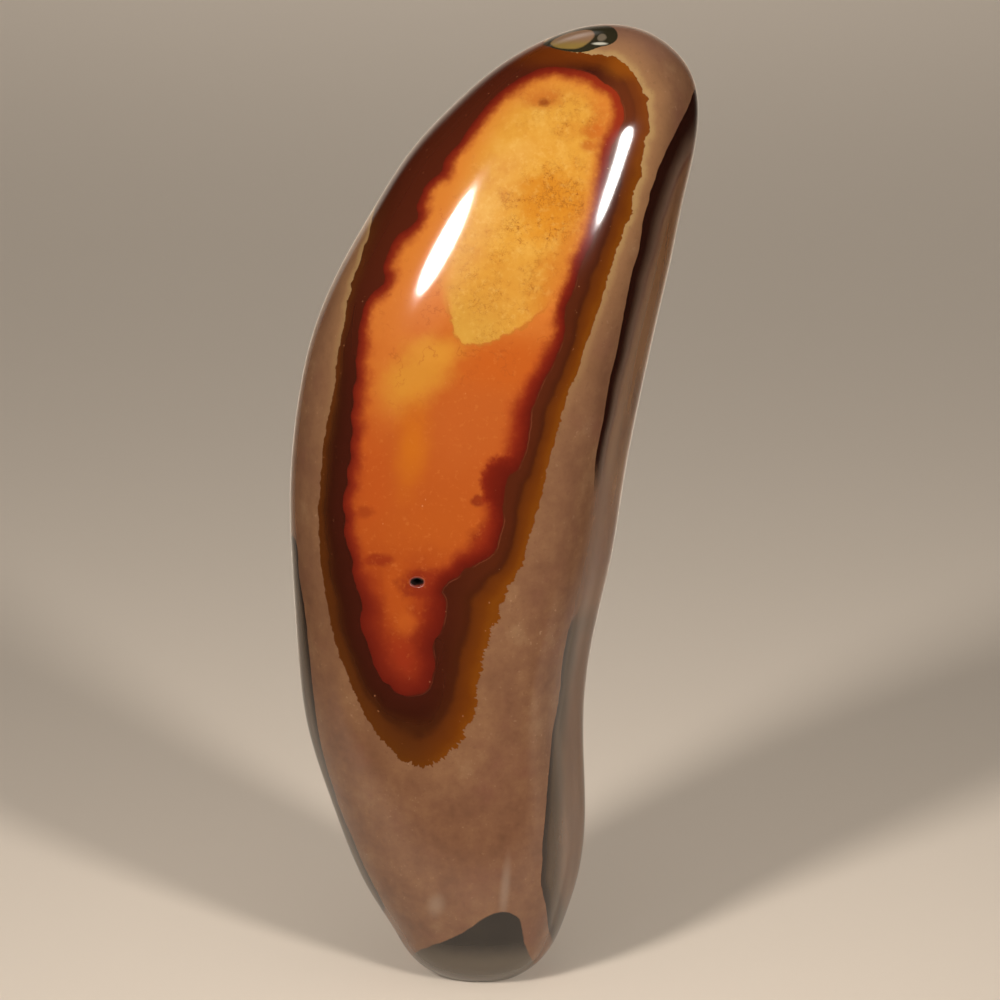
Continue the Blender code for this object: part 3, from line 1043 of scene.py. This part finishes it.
def make_reflected_sheet():
    """A sheet of paper under the stone that curves up behind it and fades out at its edges. It shows only in
    the polish, in place of the wide floor: the photograph's stone stands on a sheet in a dark room."""
    bend = [(SHEET_BACK + SHEET_BEND * math.sin(turn), SHEET_BEND * (1 - math.cos(turn)))
            for turn in np.linspace(0, math.pi / 2, SHEET_STEPS)]
    profile = [(SHEET_FRONT, 0.0), *bend, (bend[-1][0], SHEET_TOP)]
    points = [(x * MM, y * MM, (z + SHEET_LIFT) * MM) for y, z in profile for x in (-SHEET_HALF, SHEET_HALF)]
    faces = [(i, i + 1, i + 3, i + 2) for i in range(0, len(points) - 2, 2)]
    mesh = bpy.data.meshes.new("reflected_sheet")
    mesh.from_pydata(points, [], faces)
    material = make_paper("reflected_sheet")
    n = Nodes(material)
    place = n.add("ShaderNodeTexCoord", "Object")
    sides = n.step(abs(n.part(place, "X")), SHEET_HALF * MM, SHEET_HALF * SHEET_SIDE_FADE * MM)
    top = n.step(n.part(place, "Z"), SHEET_TOP * MM, SHEET_TOP * SHEET_TOP_FADE * MM)
    near = n.step(n.part(place, "Y"), SHEET_FRONT * MM, (SHEET_FRONT + SHEET_FRONT_FADE) * MM)
    shader = n.tree.nodes["Principled BSDF"]
    n.feed(shader.inputs["Alpha"], sides * top * near)
    mesh.materials.append(material)
    sheet = add_object("reflected_sheet", mesh)
    show_only_in_polish(sheet)


def show_only_in_polish(piece):
    piece.visible_camera = False
    piece.visible_diffuse = False
    piece.visible_shadow = False
    piece.visible_transmission = False


def face_stone(made, azimuth, elevation, distance, aim=CAMERA_AIM):
    """Turns a lamp or card towards a place. Azimuth is from the front, the right positive, in degrees."""
    turn, tilt = math.radians(azimuth), math.radians(elevation)
    out = Vector((math.sin(turn) * math.cos(tilt), -math.cos(turn) * math.cos(tilt), math.sin(tilt)))
    made.location = Vector(aim) * MM + out * distance
    made.rotation_mode = "QUATERNION"
    made.rotation_quaternion = out.to_track_quat("Z", "Y")


def add_lamp(name, azimuth, elevation, distance, width, height, power, reflected=True, spread=180.0,
             aim=CAMERA_AIM):
    """An oval lamp that faces the stone, or another place that it aims at."""
    light = bpy.data.lights.new(name, "AREA")
    light.shape = "ELLIPSE"
    light.size = width
    light.size_y = height
    light.energy = power
    light.color = LAMP_COLOUR
    light.spread = math.radians(spread)
    lamp = add_object(name, light)
    face_stone(lamp, azimuth, elevation, distance, aim)
    lamp.visible_glossy = reflected
    return lamp


def light_only(lamp, piece):
    """The lamp lights this piece alone, so that the floor stays as it is."""
    lit = bpy.data.collections.new(lamp.name + "_lights")
    lit.objects.link(piece)
    lamp.light_linking.receiver_collection = lit


def add_glow(name, azimuth, elevation, distance, width, height, strength):
    """A card that shows only in the polish, brightest in its middle: the glow beside a lamp's highlight."""
    mesh = bpy.data.meshes.new(name)
    mesh.from_pydata(rectangle(width / 2, height / 2), [], [(0, 1, 2, 3)])
    material = new_material(name)
    n = Nodes(material)
    n.tree.nodes.clear()
    place = n.add("ShaderNodeTexCoord", "Object")
    across = n.part(place, "X") * (2 / width)
    upward = n.part(place, "Y") * (2 / height)
    away = n.math("SQRT", across * across + upward * upward)
    shine = {"Color": (*LAMP_COLOUR, 1.0), "Strength": n.step(away, 1.0, 0.0) * strength}
    n.add("ShaderNodeOutputMaterial", None, {"Surface": n.add("ShaderNodeEmission", 0, shine)})
    mesh.materials.append(material)
    card = add_object(name, mesh)
    face_stone(card, azimuth, elevation, distance)
    show_only_in_polish(card)


def make_world():
    """An even, dim studio light that doesn't show in the polish."""
    world = bpy.data.worlds.new("studio")
    world.use_nodes = True
    world.node_tree.nodes["Background"].inputs["Color"].default_value = (*WORLD_LIGHT, 1.0)
    world.cycles_visibility.glossy = False
    bpy.context.scene.world = world


def make_camera():
    data = bpy.data.cameras.new("camera")
    data.lens = CAMERA_LENS
    data.sensor_width = SENSOR
    data.clip_start = 0.01
    data.clip_end = 100.0
    camera = add_object("camera", data)
    eye, back, _, _ = camera_axes()
    camera.location = Vector(eye) * MM
    camera.rotation_mode = "QUATERNION"
    camera.rotation_quaternion = Vector(back).to_track_quat("Z", "Y")
    bpy.context.scene.camera = camera


make_camera()
stone = make_stone()
stone.data.materials.append(make_jasper())
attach(stone, "root")
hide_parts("stone")

make_floor()
make_reflected_sheet()
make_world()
for lamp in KEY_LAMPS:
    add_lamp(*lamp, spread=KEY_SPREAD)
for glow in GLOWS:
    add_glow(*glow)
add_lamp(*LAMP_ABOVE, reflected=False)
add_lamp(*LAMP_BEHIND, reflected=False, spread=BEHIND_SPREAD, aim=BEHIND_AIM)
for side in FILL_AZIMUTHS:
    fill = add_lamp("lamp_back_%d" % side, side, *FILL_LAMP, reflected=False)
    light_only(fill, stone)
bpy.context.scene.view_settings.view_transform = "Standard"
